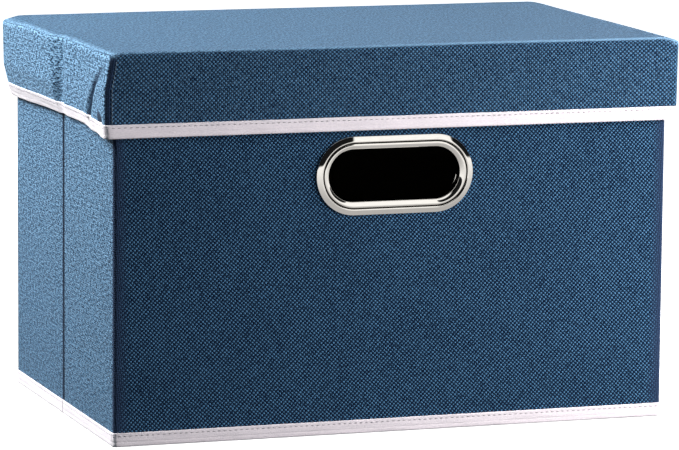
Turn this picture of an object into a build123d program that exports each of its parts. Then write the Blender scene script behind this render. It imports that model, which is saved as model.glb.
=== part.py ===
from build123d import *

import os

# A collapsible fabric storage bin with a lift-off lid, in millimetres. The origin is the centre of the
# underside, +X is the bin's width, -Y is its front and +Z is up.

# Driving dimensions
WIDTH = 380.0  # of the body over its fabric, along X
DEPTH = 240.0  # of the body over its fabric, along Y
WALL_TOP = 250.0  # height of the walls, without the rim tape
LID_TOP = 255.0
LID_HEM = 200.6  # height of the lower edge of the lid's skirt
LID_OVERHANG = 4.0  # of the lid past the body, on each side

# Layers of the walls and the lid
FABRIC = 0.8
BOARD = 2.0
LINING = 0.6
SKIRT_BOARD = 1.5
TAPE = 0.6
TAPE_HEIGHT = 9.0
WALL = FABRIC + BOARD + LINING

# Clearances
GAP = 0.4  # between two panels along a fold line
SIDE_GAP = 0.3  # between a soft piece and its neighbour
FIT = 0.2  # round the neck of a handle ring

# The base, which swings up about its rear edge
FLOOR = 0.8
BASE_BOTTOM = 1.1
BASE_TOP = 4.2
BASE_COVER = 0.6
BASE_WIDTH = 368.0
BASE_REAR = 113.4
BASE_DEPTH = 228.0
FLAP = (2.5, 3.1)  # the level of the strip that the base is sewn to
FLAP_REAR = 119.0
FLAP_WIDTH = 360.0
TAB = (20.0, 28.0, 0.8)  # the pull tab's width, length and thickness
TAB_INSET = 2.6  # from the base's front edge
PANEL_BOTTOM = BASE_TOP + TAB[2] + SIDE_GAP  # the stiff panels stop above the base and its tab

# Fold lines: the corner hinges stand this far inside the front and rear faces
CORNER_RETURN = 11.0
CORNER_SEAM = 1.6  # thickness of the bound seam in each corner
SEAM_SETBACK = 0.1  # of that seam from the lining beside it

# Handles: stadium-shaped rings through the front and rear walls
HANDLE_HEIGHT = 170.0  # of the handles' centre
RING = (108.0, 52.0)
RING_OPENING = (88.0, 31.0)
RING_PROUD = 2.6
RING_ROUND = 1.6
NECK = 1.3
BACKING = (104.0, 48.0)
BACKING_THICK = 1.4
LIP = 1.3  # how far the neck's clinched edge turns out over the backing
LIP_THICK = 0.6

# The lid's boards stop short of its rounded edges
LID_BOARD_INSET = 4.5  # from each end of the lid
LID_EDGE = 3.5  # from the top of the lid, for the skirt boards
TOP_BOARD_INSET = 1.2  # from the skirt boards

HALF_WIDTH = WIDTH / 2
HALF_DEPTH = DEPTH / 2
FOLD_Y = HALF_DEPTH - CORNER_RETURN
LID_X = HALF_WIDTH + LID_OVERHANG
LID_Y = HALF_DEPTH + LID_OVERHANG

os.makedirs("parts", exist_ok=True)


def block(x, y, z):
    """A block between the two ends of each span, in any order."""
    size = [abs(span[1] - span[0]) for span in (x, y, z)]
    centre = [(span[0] + span[1]) / 2 for span in (x, y, z)]
    return Pos(*centre) * Box(*size)


def stadium(size, grow=0.0):
    return SlotOverall(size[0] + 2 * grow, size[1] + 2 * grow)


def slot_prism(size, y, grow=0.0):
    """A stadium at the front handle's height, standing through the span y."""
    face = Plane((0, y[0], HANDLE_HEIGHT), x_dir=(1, 0, 0), z_dir=(0, 1, 0)) * stadium(size, grow)
    return extrude(face, y[1] - y[0])


def handle_hole():
    """Cuts the hole that a ring's neck passes through, in any layer of the front wall."""
    return slot_prism(RING_OPENING, (-HALF_DEPTH - 1, -HALF_DEPTH + WALL + 1), NECK + FIT)


def layer(start, thickness):
    """The span of a front wall layer that starts so far in from the outer face."""
    return (-HALF_DEPTH + start, -HALF_DEPTH + start + thickness)


def both_ends(part):
    return part + mirror(part, about=Plane.YZ)


def front_wall():
    """The long front panel with its corner returns, up to where each end panel folds."""
    height = (PANEL_BOTTOM, WALL_TOP)
    fold_edge = -FOLD_Y - GAP / 2
    fabric = block((-HALF_WIDTH, HALF_WIDTH), layer(0, FABRIC), height)
    fabric += both_ends(block((-HALF_WIDTH, -HALF_WIDTH + FABRIC), (-HALF_DEPTH, fold_edge), height))
    lining_x = HALF_WIDTH - FABRIC
    lining_y = layer(FABRIC + BOARD, LINING)
    lining = block((-lining_x, lining_x), lining_y, height)
    return_y = (-HALF_DEPTH + FABRIC, fold_edge)
    lining += both_ends(block((-lining_x, -lining_x + LINING), return_y, height))
    board_x = lining_x - LINING
    board = block((-board_x, board_x), layer(FABRIC, BOARD), height)
    return {
        "fabric": fabric - handle_hole(),
        "board": board - handle_hole(),
        "lining": lining - handle_hole(),
        "rim_tape": wall_rim_tape(fold_edge),
        "base_tape": wall_base_tape(fold_edge),
    }


def wall_rim_tape(fold_edge):
    """The binding over the panel's top edge. It turns both corners."""
    low, high = WALL_TOP - TAPE_HEIGHT, WALL_TOP + TAPE
    out_x, out_y = HALF_WIDTH + TAPE, -HALF_DEPTH - TAPE
    inner_x, inner_y = HALF_WIDTH - FABRIC - LINING - TAPE, -HALF_DEPTH + WALL
    tape = block((-out_x, out_x), (out_y, -HALF_DEPTH), (low, high))
    tape += block((-out_x, out_x), (out_y, inner_y + TAPE), (WALL_TOP, high))
    tape += block((-inner_x, inner_x), (inner_y, inner_y + TAPE), (low, high))
    tape += both_ends(block((-out_x, -HALF_WIDTH), (out_y, fold_edge), (low, high)))
    cap_x = -HALF_WIDTH + FABRIC + LINING
    return tape + both_ends(block((-out_x, cap_x), (out_y, fold_edge), (WALL_TOP, high)))


def wall_base_tape(fold_edge):
    """The binding along the panel's lower edge, which the bin stands on. It turns both corners."""
    out_x, out_y = HALF_WIDTH + TAPE, -HALF_DEPTH - TAPE
    tape = block((-out_x, out_x), (out_y, -HALF_DEPTH), (0, TAPE_HEIGHT))
    return tape + both_ends(block((-out_x, -HALF_WIDTH), (out_y, fold_edge), (0, TAPE_HEIGHT)))


def corner_seam():
    """The bound seam allowance inside the front left corner."""
    outer = -HALF_WIDTH + FABRIC + LINING
    y = (-HALF_DEPTH + WALL, -FOLD_Y - GAP / 2)
    return block((outer, outer + CORNER_SEAM), y, (PANEL_BOTTOM, WALL_TOP - TAPE_HEIGHT - SEAM_SETBACK))


def handle_ring():
    """The flanged ring outside the front wall, with its neck clinched over the backing ring."""
    face = -HALF_DEPTH
    inside = face + WALL
    flange = slot_prism(RING, (face - RING_PROUD, face))
    front_edges = flange.faces().sort_by(Axis.Y)[0].edges()
    flange = fillet(front_edges, RING_ROUND)
    end = inside + BACKING_THICK
    neck = slot_prism(RING_OPENING, (face, end + LIP_THICK), NECK)
    lip = slot_prism(RING_OPENING, (end, end + LIP_THICK), NECK + LIP)
    return flange + neck + lip - slot_prism(RING_OPENING, (face - RING_PROUD - 1, end + 1))


def handle_backing():
    inside = -HALF_DEPTH + WALL
    y = (inside, inside + BACKING_THICK)
    return slot_prism(BACKING, y) - slot_prism(RING_OPENING, y, NECK + FIT)


def end_half():
    """The front half of the left end panel, from the corner hinge to the centre crease."""
    height = (PANEL_BOTTOM, WALL_TOP)
    y = (-FOLD_Y + GAP / 2, -GAP / 2)
    edges = [-HALF_WIDTH, -HALF_WIDTH + FABRIC, -HALF_WIDTH + FABRIC + BOARD, -HALF_WIDTH + WALL]
    low, high = WALL_TOP - TAPE_HEIGHT, WALL_TOP + TAPE
    rim = block((edges[0] - TAPE, edges[0]), y, (low, high))
    rim += block((edges[0] - TAPE, edges[3] + TAPE), y, (WALL_TOP, high))
    rim += block((edges[3], edges[3] + TAPE), y, (low, high))
    return {
        "fabric": block(edges[0:2], y, height),
        "board": block(edges[1:3], y, height),
        "lining": block(edges[2:4], y, height),
        "rim_tape": rim,
        "base_tape": block((edges[0] - TAPE, edges[0]), y, (0, TAPE_HEIGHT)),
    }


def fabric_floor():
    x, y = HALF_WIDTH - SIDE_GAP, HALF_DEPTH - SIDE_GAP
    return block((-x, x), (-y, y), (0, FLOOR))


def base_pieces():
    """The stiff base: a board in a sleeve that is open at its right end, with a pull tab at the front."""
    x, front = BASE_WIDTH / 2, BASE_REAR - BASE_DEPTH
    board_y = (front + BASE_COVER, BASE_REAR - BASE_COVER)
    board_z = (BASE_BOTTOM + BASE_COVER, BASE_TOP - BASE_COVER)
    board = block((-x + BASE_COVER, x), board_y, board_z)
    sleeve = block((-x, x), (front, BASE_REAR), (BASE_BOTTOM, BASE_TOP)) - board
    tab_front = front + TAB_INSET
    tab = block((-TAB[0] / 2, TAB[0] / 2), (tab_front, tab_front + TAB[1]), (BASE_TOP, BASE_TOP + TAB[2]))
    return {"base_board": board, "base_cover": sleeve, "base_pull_tab": tab}


def base_hinge_strip():
    """The strip of cloth behind the base, which it is sewn to."""
    return block((-FLAP_WIDTH / 2, FLAP_WIDTH / 2), (BASE_REAR + SIDE_GAP, FLAP_REAR), FLAP)


def lid_profile(inset, thickness, bottom, length):
    """A channel open below that runs along X: the lid's top and its front and rear skirts."""
    y, top = LID_Y - inset, LID_TOP - inset_top(inset)
    outer = block((-length, length), (-y, y), (bottom, top))
    inner_y = y - thickness
    return outer - block((-length - 1, length + 1), (-inner_y, inner_y), (bottom - 1, top - thickness))


def inset_top(inset):
    """The lining lies under the top board, which is thicker than the skirt boards."""
    return inset + (BOARD - SKIRT_BOARD if inset else 0)


def lid_pieces():
    skin = FABRIC + SKIRT_BOARD
    soft = FABRIC + LINING
    board_x = LID_X - LID_BOARD_INSET
    skirt_y = (-LID_Y + FABRIC, -LID_Y + skin)
    front_board = block((-board_x, board_x), skirt_y, (LID_HEM + TAPE, LID_TOP - LID_EDGE))
    top_y = LID_Y - skin - TOP_BOARD_INSET
    top_board = block((-board_x, board_x), (-top_y, top_y), (LID_TOP - FABRIC - BOARD, LID_TOP - FABRIC))
    end_y = LID_Y - FABRIC
    end = block((-LID_X, -LID_X + soft), (-end_y, end_y), (LID_HEM, LID_TOP - FABRIC))
    return {
        "lid_cover": lid_profile(0, FABRIC, LID_HEM, LID_X),
        "lid_lining": lid_profile(skin, LINING, LID_HEM + TAPE_HEIGHT, LID_X - soft),
        "lid_top_board": top_board,
        "lid_front_skirt_board": front_board,
        "lid_back_skirt_board": mirror(front_board, about=Plane.XZ),
        "lid_left_skirt": end,
        "lid_right_skirt": mirror(end, about=Plane.YZ),
        "lid_hem_tape": lid_hem_tape(),
    }


def lid_hem_tape():
    """The binding round the lid's lower edge: a channel that is open above."""
    low, high = LID_HEM - TAPE, LID_HEM + TAPE_HEIGHT - TAPE
    out_x, out_y = LID_X + TAPE, LID_Y + TAPE
    skirt_x, skirt_y = LID_X - FABRIC - LINING, LID_Y - FABRIC - SKIRT_BOARD
    in_x, in_y = skirt_x - TAPE, skirt_y - TAPE
    channel = block((-out_x, out_x), (-out_y, out_y), (low, high))
    hollow = block((-in_x, in_x), (-in_y, in_y), (low - 1, high + 1))
    slot = block((-LID_X, LID_X), (-LID_Y, LID_Y), (LID_HEM, high + 1))
    slot -= block((-skirt_x, skirt_x), (-skirt_y, skirt_y), (LID_HEM - 1, high + 2))
    return channel - hollow - slot


def write(name, part):
    """One STEP for each sub-part, as a single solid."""
    solids = part.solids()
    export_step(solids[0] if len(solids) == 1 else Compound(children=solids), f"parts/{name}.step")


nodes = {f"front_{name}": part for name, part in front_wall().items()}
nodes["front_handle_ring"] = handle_ring()
nodes["front_handle_backing"] = handle_backing()
nodes |= {name.replace("front", "back"): mirror(part, about=Plane.XZ) for name, part in nodes.items()}

for side in ("left", "right"):
    for place in ("front", "rear"):
        pieces = {f"{side}_{place}_{name}": part for name, part in end_half().items()}
        pieces[f"{side}_{place}_corner_seam"] = corner_seam()
        for name, part in pieces.items():
            part = mirror(part, about=Plane.XZ) if place == "rear" else part
            nodes[name] = mirror(part, about=Plane.YZ) if side == "right" else part

nodes["fabric_floor"] = fabric_floor()
nodes["base_hinge_strip"] = base_hinge_strip()
nodes |= base_pieces()
nodes |= lid_pieces()

for name, part in nodes.items():
    write(name, part)
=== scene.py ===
import math

import bmesh
import bpy
import numpy as np
from mathutils import Matrix, Vector, noise


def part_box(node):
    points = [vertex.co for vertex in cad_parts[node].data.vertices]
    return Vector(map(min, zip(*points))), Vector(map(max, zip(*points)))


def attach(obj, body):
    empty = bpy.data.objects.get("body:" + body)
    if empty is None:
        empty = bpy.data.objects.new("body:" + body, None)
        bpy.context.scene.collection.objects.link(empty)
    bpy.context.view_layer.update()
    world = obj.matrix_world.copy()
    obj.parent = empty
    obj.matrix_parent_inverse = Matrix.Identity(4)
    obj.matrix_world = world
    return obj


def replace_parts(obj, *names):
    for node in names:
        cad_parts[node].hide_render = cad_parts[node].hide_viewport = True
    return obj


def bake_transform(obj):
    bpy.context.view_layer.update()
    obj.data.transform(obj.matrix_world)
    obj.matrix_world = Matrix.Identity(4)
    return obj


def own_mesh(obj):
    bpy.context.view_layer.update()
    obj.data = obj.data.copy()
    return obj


# A fabric storage bin with a lift-off lid. The CAD model is the frame, and everything here is in its metres:
# +X is the bin's width, -Y its front and +Z up. A "side" is -1 for the left or front, and +1 for the right
# or rear.

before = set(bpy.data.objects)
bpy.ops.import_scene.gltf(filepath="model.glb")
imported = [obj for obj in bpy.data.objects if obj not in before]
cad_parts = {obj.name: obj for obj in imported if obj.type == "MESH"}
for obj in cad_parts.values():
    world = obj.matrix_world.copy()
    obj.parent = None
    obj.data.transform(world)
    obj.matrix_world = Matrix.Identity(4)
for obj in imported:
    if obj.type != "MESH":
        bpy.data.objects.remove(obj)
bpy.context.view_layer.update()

MM = 0.001

# Places that the frame gives
wall_low, wall_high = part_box("front_fabric")
HALF_WIDTH, HALF_DEPTH = wall_high.x, -wall_low.y
WALL_TOP = wall_high.z
LINING_Y = -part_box("front_lining")[0].y
FOLD_Y = -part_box("left_front_fabric")[0].y  # the corner hinge's side of each end panel
TAPE_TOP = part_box("front_base_tape")[1].z
TAPE = -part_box("front_base_tape")[0].y - HALF_DEPTH
RIM_BOTTOM, RIM_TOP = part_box("front_rim_tape")[0].z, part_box("front_rim_tape")[1].z
LID_LOW, LID_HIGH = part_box("lid_cover")
HEM_LOW, HEM_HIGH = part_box("lid_hem_tape")[0].z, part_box("lid_hem_tape")[1].z
RING_LOW, RING_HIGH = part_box("front_handle_ring")
BASE_LOW, BASE_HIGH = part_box("base_cover")

# The hole that each handle's neck passes through
RING_WIDTH = 10 * MM  # of the flange, from the opening to its outer edge
OPENING_HALF = (RING_HIGH.x - RING_WIDTH, (RING_HIGH.z - RING_LOW.z) / 2 - RING_WIDTH)
RING_Z = (RING_HIGH.z + RING_LOW.z) / 2

# Cloth
YARN = 1.38 * MM  # from one yarn to the next
CORNER_ROUND = 2.2 * MM
SKIN = 0.8 * MM  # the outer cloth's thickness
LINING = 0.5 * MM  # the inner cloth's
CUT_BACK = 1.2 * MM  # of the cloth round a handle's opening


# ---------------------------------------------------------------- camera, lights and floor


CAMERA_TURN = (19.01, 8.55, 0.49)  # its yaw, pitch and roll, in degrees
CAMERA_PLACE = (3.0427, -0.0043, -0.1179)  # how far the origin is ahead of it, to its right and up
LENS, SENSOR = 237.0, 36  # in mm


def add_camera():
    """Stands well back with a long lens, a little above the lid and left of the front."""
    yaw, pitch, roll = (math.radians(angle) for angle in CAMERA_TURN)
    distance, aside, above = CAMERA_PLACE
    level = math.cos(pitch)
    forward = Vector((math.sin(yaw) * level, math.cos(yaw) * level, -math.sin(pitch)))
    right = Vector((math.cos(yaw), -math.sin(yaw), 0))
    up = right.cross(forward)
    right, up = (
        math.cos(roll) * right + math.sin(roll) * up,
        math.cos(roll) * up - math.sin(roll) * right,
    )
    data = bpy.data.cameras.new("camera")
    data.sensor_width, data.lens = SENSOR, LENS
    data.clip_start, data.clip_end = 0.1, 50
    camera = bpy.data.objects.new("camera", data)
    bpy.context.collection.objects.link(camera)
    place = -(aside * right + above * up + distance * forward)
    turn = Matrix((right, up, -forward)).transposed().to_4x4()
    camera.matrix_world = Matrix.Translation(place) @ turn
    bpy.context.scene.camera = camera


def add_area_light(name, place, target, size, power, colour, shiny=True):
    data = bpy.data.lights.new(name, "AREA")
    data.shape = "RECTANGLE"
    data.size, data.size_y = size
    data.energy = power
    data.color = colour
    light = bpy.data.objects.new(name, data)
    light.location = place
    light.rotation_euler = (Vector(target) - Vector(place)).to_track_quat("-Z", "Y").to_euler()
    light.visible_glossy = shiny
    bpy.context.collection.objects.link(light)


def add_lights():
    middle, right_front = (0, 0, 0.14), (0.14, -0.12, 0.12)
    add_area_light("key_softbox", (-1.0, 0.4, 1.15), middle, (0.8, 0.8), 49, (1.0, 0.98, 0.965))
    unseen = [  # in reflections
        ("top_softbox", (-0.3, 0.1, 1.6), middle, (1.0, 0.8), 0.4, (1.0, 1.0, 1.0)),
        ("right_softbox", (0.74, -0.45, 0.30), right_front, (0.40, 0.55), 17.2, (1.0, 0.93, 0.92)),
        ("front_fill", (0.0, -0.9, 1.6), middle, (1.0, 0.6), 1.0, (0.92, 0.95, 1.0)),
    ]
    for light in unseen:
        add_area_light(*light, shiny=False)


def feed(tree, socket, value):
    """Links a socket to another node's, or sets its constant value."""
    if isinstance(value, bpy.types.NodeSocket):
        tree.links.new(value, socket)
    elif value is not None:
        socket.default_value = value


def add_node(tree, kind, inputs=None, **settings):
    node = tree.nodes.new("ShaderNode" + kind)
    for name, value in settings.items():
        setattr(node, name, value)
    for name, value in (inputs or {}).items():
        feed(tree, node.inputs[name], value)
    return node


def add_world():
    """White to the eye and dim to cloth. Reflections see a bright room, which is dimmer low down and has dark
    corners high on each side."""
    world = bpy.data.worlds.new("studio")
    bpy.context.scene.world = world
    world.use_nodes = True
    tree = world.node_tree
    tree.nodes.clear()

    def add(kind, inputs=None, **settings):
        return add_node(tree, kind, inputs, **settings)

    def ranged(value, low, high):
        """0 at low and 1 at high, with a smooth change between."""
        inputs = {0: value, 1: low, 2: high}
        return add("MapRange", inputs, interpolation_type="SMOOTHSTEP").outputs[0]

    def times(a, b):
        return add("Math", {0: a, 1: b}, operation="MULTIPLY").outputs[0]

    where = add("SeparateXYZ", {0: add("TexCoord").outputs["Generated"]})
    x, z = where.outputs["X"], where.outputs["Z"]
    aside = add("Math", {0: x, 1: 0.46}, operation="SUBTRACT").outputs[0]
    sideways = add("Math", {0: aside}, operation="ABSOLUTE").outputs[0]
    high_corner = times(ranged(z, 0.08, 0.14), ranged(sideways, 0.15, 0.20))
    not_up = ranged(z, 0.93, 0.80)
    dark = times(high_corner, not_up)
    low_to_high = {0: ranged(z, -0.7, 0.25), 6: (0.55, 0.53, 0.51, 1), 7: (1.22, 1.19, 1.14, 1)}
    bright = add("Mix", low_to_high, data_type="RGBA").outputs[2]
    room = add("Mix", {0: dark, 6: bright, 7: (0.01, 0.01, 0.01, 1)}, data_type="RGBA").outputs[2]
    path = add("LightPath")
    soft = add("Background", {0: (0.70, 0.87, 1, 1), 1: 0.080})
    shiny = add("Background", {0: room, 1: 0.9})
    seen = add("Background", {0: (1, 1, 1, 1), 1: 1.0})
    lit = add("MixShader", {0: path.outputs["Is Glossy Ray"], 1: soft.outputs[0], 2: shiny.outputs[0]})
    world_seen = add("MixShader", {0: path.outputs["Is Camera Ray"], 1: lit.outputs[0], 2: seen.outputs[0]})
    add("OutputWorld", {0: world_seen.outputs[0]})


# ---------------------------------------------------------------- materials


class Look:
    """A material and short ways to add nodes to it."""

    def __init__(self, name):
        self.material = bpy.data.materials.new(name)
        self.material.use_nodes = True
        self.tree = self.material.node_tree
        self.surface = self.tree.nodes["Principled BSDF"]

    def set(self, **values):
        for name, value in values.items():
            feed(self.tree, self.surface.inputs[name.replace("_", " ")], value)

    def add(self, kind, inputs=None, out=0, **settings):
        return add_node(self.tree, kind, inputs, **settings).outputs[out]

    def math(self, operation, a, b=None, c=None):
        return self.add("Math", {0: a, 1: b, 2: c}, operation=operation)

    def times(self, a, b):
        return self.math("MULTIPLY", a, b)

    def split(self, vector):
        return add_node(self.tree, "SeparateXYZ", {0: vector}).outputs

    def mix(self, share, a, b):
        return self.add("Mix", {0: share, 6: a, 7: b}, out=2, data_type="RGBA")

    def ranged(self, value, low=0.3, high=0.7, to_low=0, to_high=1):
        inputs = {0: value, 1: low, 2: high, 3: to_low, 4: to_high}
        return self.add("MapRange", inputs)

    def noise(self, where, scale, detail=2.0):
        return self.add("TexNoise", {"Vector": where, "Scale": scale, "Detail": detail})

    def bump(self, height, distance, strength=1.0):
        inputs = {"Height": height, "Distance": distance, "Strength": strength}
        self.set(Normal=self.add("Bump", inputs))

    def place(self):
        """The place on the object, in metres."""
        return self.add("TexCoord", out=3)

    def cloth_place(self):
        """The cloth's own flat coordinates, in metres."""
        return self.add("UVMap", uv_map="Cloth")

    def stretched(self, where, x, y):
        return self.add("Mapping", {"Vector": where, "Scale": (x, y, 1)})


WARP = (0.002, 0.007, 0.024, 1)
WEFT = (0.076, 0.198, 0.350, 1)
NAP_AND_PAINTED_LIGHT = (0.29, 0.53, 0.79, 1)  # of raised fibres where the cloth is brushed, and painted light: sheen on the sides and top, and highlights along edges
TURNED = (0.022, 0.041, 0.088, 1)  # of cloth turned over a seam, which shows no weave
PAINTED_FOLD_SHADE = (0.002, 0.004, 0.010, 1)  # painted shade of cloth deep in a fold


def blue_weave():
    """Plain weave of navy warp and paler weft: each yarn is on top in every other cell."""
    look = Look("blue_weave")
    flat = look.cloth_place()
    wander = look.noise(flat, 160.0, 1.0)
    offset = look.ranged(wander, 0.3, 0.7, -0.13, 0.13)
    # In yarns, and moved so that no cell's number is negative
    in_yarns = {"Scale": (1 / YARN, 1 / YARN, 1), "Location": (2000, 2000, 0)}
    yarns = look.split(look.add("Mapping", {"Vector": flat, **in_yarns}))
    u = look.math("ADD", yarns["X"], offset)
    v = look.math("SUBTRACT", yarns["Y"], offset)
    cell_u, cell_v = look.math("FLOOR", u), look.math("FLOOR", v)
    weft_up = look.math("MODULO", look.math("ADD", cell_u, cell_v), 2.0)
    across_u = look.math("ABSOLUTE", look.math("SUBTRACT", look.math("FRACT", u), 0.5))
    across_v = look.math("ABSOLUTE", look.math("SUBTRACT", look.math("FRACT", v), 0.5))
    across = look.add("Mix", {0: weft_up, 2: across_u, 3: across_v})
    along = look.add("Mix", {0: weft_up, 2: across_v, 3: across_u})
    round_part = look.ranged(look.math("POWER", look.times(across, 2.0), 2.0), 0, 1, 1, 0)
    dip_part = look.ranged(look.math("POWER", look.times(along, 2.0), 3.0), 0, 1, 1, 0)
    height = look.math("SQRT", look.times(round_part, dip_part))
    cell = look.add("CombineXYZ", {0: cell_u, 1: cell_v})
    chance = look.add("TexWhiteNoise", {"Vector": cell}, noise_dimensions="3D")
    slub_u = look.noise(look.stretched(flat, 170, 700), 1.0, 2.0)
    slub_v = look.noise(look.stretched(flat, 700, 60), 1.0, 2.0)
    cloud = look.noise(flat, 22.0, 3.0)
    fleck = look.noise(flat, 420.0, 2.0)
    tone = look.times(look.ranged(chance, 0, 1, 0.65, 1.4), look.ranged(slub_u, 0.33, 0.67, 0.65, 1.4))
    tone = look.times(tone, look.ranged(cloud, 0.3, 0.7, 0.86, 1.14))
    tone = look.times(tone, look.ranged(fleck, 0.32, 0.68, 0.75, 1.3))
    dot = look.times(look.math("POWER", height, 2.4), 1.35)
    weft = look.mix(look.times(tone, dot), WARP, WEFT)
    warp = look.mix(look.ranged(slub_v, 0.35, 0.75, 0.0, 0.10), WARP, WEFT)
    colour = look.mix(weft_up, warp, weft)
    # The pale nap tufts are partly the cloth's brushed nap and partly painted light, standing in for sheen on
    # the sides and top.
    nap_and_light = look.split(look.add("Attribute", attribute_name="nap_and_painted_light", out=1))
    grain = look.add("CombineXYZ", {0: nap_and_light["X"], 1: nap_and_light["Y"]})
    tufts = look.noise(look.add("VectorMath", {0: flat, 1: grain}, operation="MULTIPLY"), 1.0, 1.5)
    tufts = look.ranged(tufts, 0.42, 0.58, 0.0, 1.0)
    share = look.times(look.times(tufts, nap_and_light["Z"]), look.ranged(chance, 0, 1, 0.7, 1.3))
    colour = look.mix(share, colour, NAP_AND_PAINTED_LIGHT)
    # A painted highlight along the lid's edges, in the pale nap colour.
    colour = look.mix(look.add("Attribute", attribute_name="painted_edge_highlight", out=2), colour, NAP_AND_PAINTED_LIGHT)
    # Where plain is above 1 the colour goes towards the dark fold colour: painted shade in creases, folds and
    # the pleat.
    plain = look.add("Attribute", attribute_name="plain", out=2)
    colour = look.mix(plain, colour, TURNED)
    colour = look.mix(look.math("SUBTRACT", plain, 1.0), colour, PAINTED_FOLD_SHADE)
    look.set(Base_Color=colour, Roughness=look.ranged(height, 0, 1, 0.75, 0.5))
    look.set(Specular_IOR_Level=0.06, Sheen_Weight=0.22, Sheen_Roughness=0.35)
    look.set(Sheen_Tint=(0.42, 0.68, 1.0, 1))
    fuzz = look.noise(flat, 4000.0, 2.0)
    relief = look.math("ADD", height, look.times(fuzz, 0.35))
    relief = look.math("ADD", relief, look.times(fleck, 0.4))
    look.bump(relief, 0.30 * MM, 1.0)
    return look.material


def binding():
    """Thin white non-woven tape, point-bonded and a little creased."""
    look = Look("binding")
    flat = look.cloth_place()
    fibres = look.noise(look.stretched(flat, 500, 1400), 1.0, 4.0)
    creases = look.noise(look.stretched(flat, 45, 260), 1.0, 3.0)
    bonds = look.add("TexVoronoi", {"Vector": flat, "Scale": 900.0})
    tint = look.mix(look.ranged(fibres), (0.78, 0.75, 0.815, 1), (0.92, 0.885, 0.93, 1))
    # Darker where the creases are: painted shade in them.
    tint = look.mix(look.ranged(creases, 0.56, 0.72, 0, 0.30), tint, (0.70, 0.66, 0.71, 1))
    look.set(Base_Color=tint, Roughness=look.ranged(fibres, 0.3, 0.7, 0.62, 0.8), Sheen_Weight=0.12)
    relief = look.math("ADD", look.times(creases, 2.5), look.ranged(bonds, 0, 0.4, 0, 0.5))
    look.bump(relief, 0.25 * MM, 0.7)
    return look.material


def non_woven(name, dark, light):
    """Embossed non-woven cloth, as inside the bin."""
    look = Look(name)
    flat = look.cloth_place()
    fibres = look.noise(look.stretched(flat, 900, 900), 1.0, 4.0)
    bonds = look.add("TexVoronoi", {"Vector": flat, "Scale": 620.0, "Randomness": 0.15})
    tint = look.mix(look.ranged(fibres), dark, light)
    look.set(Base_Color=tint, Roughness=look.ranged(fibres, 0.3, 0.7, 0.7, 0.9))
    look.bump(look.ranged(bonds, 0.1, 0.45, 0, 1), 0.2 * MM, 0.7)
    return look.material


def nickel(name, dark, light):
    """Bright plate with faint polishing lines and a few fine scuffs."""
    look = Look(name)
    place = look.place()
    lines = look.noise(look.add("Mapping", {"Vector": place, "Scale": (250, 2500, 2500)}), 1.0, 3.0)
    scuffs = look.noise(place, 900.0, 4.0)
    look.set(Base_Color=look.mix(look.ranged(lines), dark, light))
    look.set(Metallic=1.0, Roughness=look.ranged(scuffs, 0.45, 0.75, 0.03, 0.07))
    look.bump(lines, 0.002 * MM, 0.2)
    return look.material


def chipboard():
    look = Look("chipboard")
    place = look.place()
    chips = look.add("TexVoronoi", {"Vector": place, "Scale": 700.0})
    fibres = look.noise(place, 1500.0, 4.0)
    tint = look.mix(look.ranged(chips, 0, 0.6, 0, 1), (0.30, 0.22, 0.14, 1), (0.42, 0.33, 0.22, 1))
    look.set(Base_Color=look.mix(look.ranged(fibres, 0.35, 0.65, 0, 0.5), tint, (0.2, 0.15, 0.1, 1)))
    look.set(Roughness=look.ranged(fibres, 0.3, 0.7, 0.8, 0.95))
    look.bump(fibres, 0.1 * MM, 0.6)
    return look.material


def thread(name, dark, light):
    look = Look(name)
    place = look.place()
    ply = look.noise(place, 3000.0, 2.0)
    look.set(Base_Color=look.mix(look.ranged(ply), dark, light))
    look.set(Roughness=look.ranged(ply, 0.3, 0.7, 0.5, 0.7), Sheen_Weight=0.2)
    look.bump(ply, 0.05 * MM, 0.6)
    return look.material


def floor_paint():
    look = Look("floor_paint")
    grain = look.ranged(look.noise(look.place(), 30.0, 3.0))
    look.set(Base_Color=look.mix(grain, (0.93, 0.93, 0.93, 1), (0.95, 0.95, 0.95, 1)))
    look.set(Roughness=0.9, Emission_Color=(1, 1, 1, 1), Emission_Strength=0.97)
    return look.material


# ---------------------------------------------------------------- mesh code


def piece_from(name, points, faces, cloth, materials, face_materials=None):
    """A mesh object with the cloth's flat coordinates, one for each point, as its UVs."""
    mesh = bpy.data.meshes.new(name)
    mesh.from_pydata([tuple(p) for p in points], [], [tuple(f) for f in faces])
    if cloth is not None:
        layer = mesh.uv_layers.new(name="Cloth")
        corners = np.empty(len(mesh.loops), int)
        mesh.loops.foreach_get("vertex_index", corners)
        layer.data.foreach_set("uv", np.asarray(cloth, np.float32)[corners].ravel())
    for material in materials:
        mesh.materials.append(material)
    if face_materials is not None:
        mesh.polygons.foreach_set("material_index", face_materials)
    mesh.polygons.foreach_set("use_smooth", [True] * len(mesh.polygons))
    mesh.update()
    piece = bpy.data.objects.new(name, mesh)
    bpy.context.collection.objects.link(piece)
    return piece


def grid_faces(rows, columns, flip=False, closed=False):
    """Quads of a grid of points, whose last column joins the first where it is closed."""
    span = columns if closed else columns - 1
    faces = []
    for i in range(rows - 1):
        for j in range(span):
            k = (j + 1) % columns
            quad = (i * columns + j, i * columns + k, (i + 1) * columns + k, (i + 1) * columns + j)
            faces.append(quad[::-1] if flip else quad)
    return faces


def tube_faces(rings, around, start=0):
    """Faces of a tube of rings of points, closed at both ends."""
    last = start + (rings - 1) * around
    faces = [tuple(start + i for i in f) for f in grid_faces(rings, around, closed=True)]
    return faces + [tuple(start + k for k in range(around))[::-1], tuple(last + k for k in range(around))]


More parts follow.
